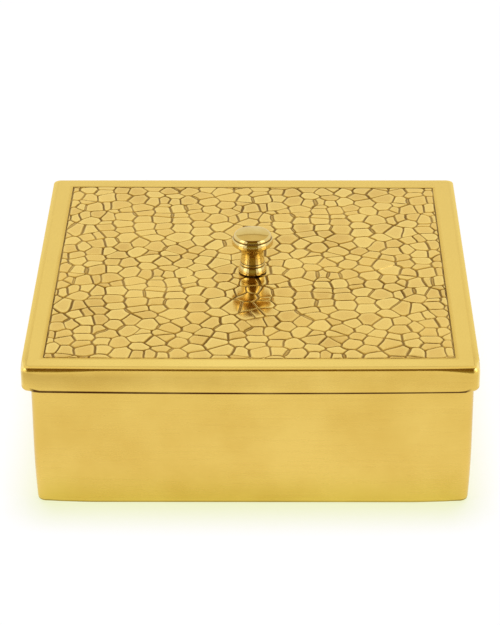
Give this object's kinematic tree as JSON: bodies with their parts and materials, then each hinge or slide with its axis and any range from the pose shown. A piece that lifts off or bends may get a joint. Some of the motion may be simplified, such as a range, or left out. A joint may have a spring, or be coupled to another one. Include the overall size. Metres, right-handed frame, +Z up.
{
  "type": "spice box",
  "caption": "Square brass spice box with a cap lid engraved with a cell pattern, a turned knob, loose square cups and a small round spoon inside.",
  "frame": {"origin": "on the table, under the middle of the lid", "axes": "+Z up, +X to the right and -Y towards the front as the picture shows the box; the knob is 3.5 mm in front of the middle"},
  "size_m": [0.2, 0.2, 0.0893],
  "materials": {
    "satin_brass": "satin, brushed along the sides and lacquered",
    "engraved_brass": "engraved cells, polished on top, satin border",
    "polished_brass": "turned and mirror polished",
    "washer_brass": "stamped, dull",
    "screw_steel": "zinc plated",
    "cup_brass": "pressed and polished",
    "spoon_brass": "polished"
  },
  "bodies": {
    "tub": {"box_body": "satin_brass"},
    "lid": {"lid": "engraved_brass", "knob": "polished_brass", "knob_washer": "washer_brass", "knob_screw": "screw_steel"},
    "cup_front_left": {"cup_front_left": "cup_brass"},
    "cup_front_centre": {"cup_front_centre": "cup_brass"},
    "cup_front_right": {"cup_front_right": "cup_brass"},
    "cup_middle_left": {"cup_middle_left": "cup_brass"},
    "cup_middle_centre": {"cup_middle_centre": "cup_brass"},
    "cup_middle_right": {"cup_middle_right": "cup_brass"},
    "cup_back_left": {"cup_back_left": "cup_brass"},
    "cup_back_centre": {"cup_back_centre": "cup_brass"},
    "cup_back_right": {"cup_back_right": "cup_brass"},
    "spoon": {"spoon": "spoon_brass"}
  },
  "joints": [
    {"name": "lid_lift", "type": "slide", "parent": "tub", "child": "lid", "axis": [0, 0, 1], "range_m": [0, 0.16]},
    {"name": "cup_front_left_lift", "type": "slide", "parent": "tub", "child": "cup_front_left", "axis": [0, 0, 1], "range_m": [0, 0.08]},
    {"name": "cup_front_centre_lift", "type": "slide", "parent": "tub", "child": "cup_front_centre", "axis": [0, 0, 1], "range_m": [0, 0.08]},
    {"name": "cup_front_right_lift", "type": "slide", "parent": "tub", "child": "cup_front_right", "axis": [0, 0, 1], "range_m": [0, 0.08]},
    {"name": "cup_middle_left_lift", "type": "slide", "parent": "tub", "child": "cup_middle_left", "axis": [0, 0, 1], "range_m": [0, 0.08]},
    {"name": "cup_middle_centre_lift", "type": "slide", "parent": "tub", "child": "cup_middle_centre", "axis": [0, 0, 1], "range_m": [0, 0.08]},
    {"name": "cup_middle_right_lift", "type": "slide", "parent": "tub", "child": "cup_middle_right", "axis": [0, 0, 1], "range_m": [0, 0.08]},
    {"name": "cup_back_left_lift", "type": "slide", "parent": "tub", "child": "cup_back_left", "axis": [0, 0, 1], "range_m": [0, 0.08]},
    {"name": "cup_back_centre_lift", "type": "slide", "parent": "tub", "child": "cup_back_centre", "axis": [0, 0, 1], "range_m": [0, 0.08]},
    {"name": "cup_back_right_lift", "type": "slide", "parent": "tub", "child": "cup_back_right", "axis": [0, 0, 1], "range_m": [0, 0.08]},
    {"name": "spoon_lift", "type": "slide", "parent": "tub", "child": "spoon", "axis": [0, 0, 1], "range_m": [0, 0.1]}
  ],
  "couplings": [
    {"joint": "cup_front_left_lift", "follows": "lid_lift", "ratio": 0.5},
    {"joint": "cup_front_centre_lift", "follows": "lid_lift", "ratio": 0.5},
    {"joint": "cup_front_right_lift", "follows": "lid_lift", "ratio": 0.5},
    {"joint": "cup_middle_left_lift", "follows": "lid_lift", "ratio": 0.5},
    {"joint": "cup_middle_centre_lift", "follows": "lid_lift", "ratio": 0.5},
    {"joint": "cup_middle_right_lift", "follows": "lid_lift", "ratio": 0.5},
    {"joint": "cup_back_left_lift", "follows": "lid_lift", "ratio": 0.5},
    {"joint": "cup_back_centre_lift", "follows": "lid_lift", "ratio": 0.5},
    {"joint": "cup_back_right_lift", "follows": "lid_lift", "ratio": 0.5},
    {"joint": "spoon_lift", "follows": "lid_lift", "ratio": 0.625}
  ]
}
